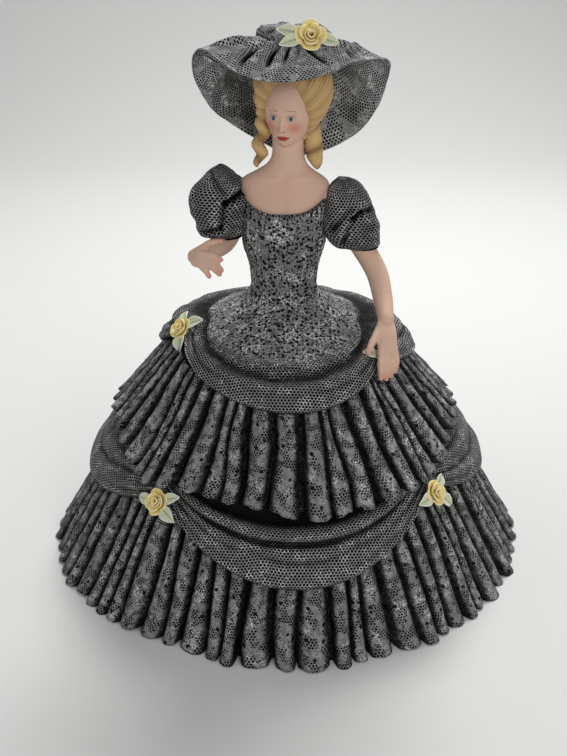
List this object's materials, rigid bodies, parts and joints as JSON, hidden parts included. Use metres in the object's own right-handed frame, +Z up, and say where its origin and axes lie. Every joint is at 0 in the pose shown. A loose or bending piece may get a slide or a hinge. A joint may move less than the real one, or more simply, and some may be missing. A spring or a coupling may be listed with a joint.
{
  "type": "lace porcelain figurine",
  "caption": "Porcelain lady in a wide crinoline of fluted lace and draped net swags, with a drooping net hat and applied roses.",
  "frame": {"origin": "centre of the skirt's hem circle, on the table it stands on", "axes": "+Z up along the figure; she faces -Y; +X is towards her left"},
  "size_m": [0.231, 0.231, 0.2504],
  "materials": {
    "bisque": "matte unglazed bisque, hand painted",
    "lace": "matte porcelain lace, dark grey, brushed silver grey on the high points",
    "net": "matte porcelain net, dark grey, brushed silver grey",
    "lining": "matte black bisque",
    "rose": "satin yellow, paler at the petal rims",
    "pale_rose": "satin cream",
    "leaf": "satin pale green, whiter at the edges"
  },
  "bodies": {
    "root": {"porcelain_lady": "bisque", "bodice": "lace", "sleeve_right": "net", "sleeve_left": "net", "hat": "net", "underskirt": "lining", "lower_ruffle": "lace", "lower_drape": "net", "upper_ruffle": "lace", "upper_drape": "net", "hat_rose": "rose", "hip_rose_right": "rose", "hip_rose_left": "pale_rose", "skirt_rose_right": "rose", "skirt_rose_left": "rose", "hat_rose_leaf_1": "leaf", "hat_rose_leaf_2": "leaf", "hat_rose_leaf_3": "leaf", "hip_rose_right_leaf_1": "leaf", "hip_rose_right_leaf_2": "leaf", "hip_rose_right_leaf_3": "leaf", "hip_rose_left_leaf_1": "leaf", "hip_rose_left_leaf_2": "leaf", "skirt_rose_right_leaf_1": "leaf", "skirt_rose_right_leaf_2": "leaf", "skirt_rose_right_leaf_3": "leaf", "skirt_rose_left_leaf_1": "leaf", "skirt_rose_left_leaf_2": "leaf", "skirt_rose_left_leaf_3": "leaf"}
  },
  "joints": []
}
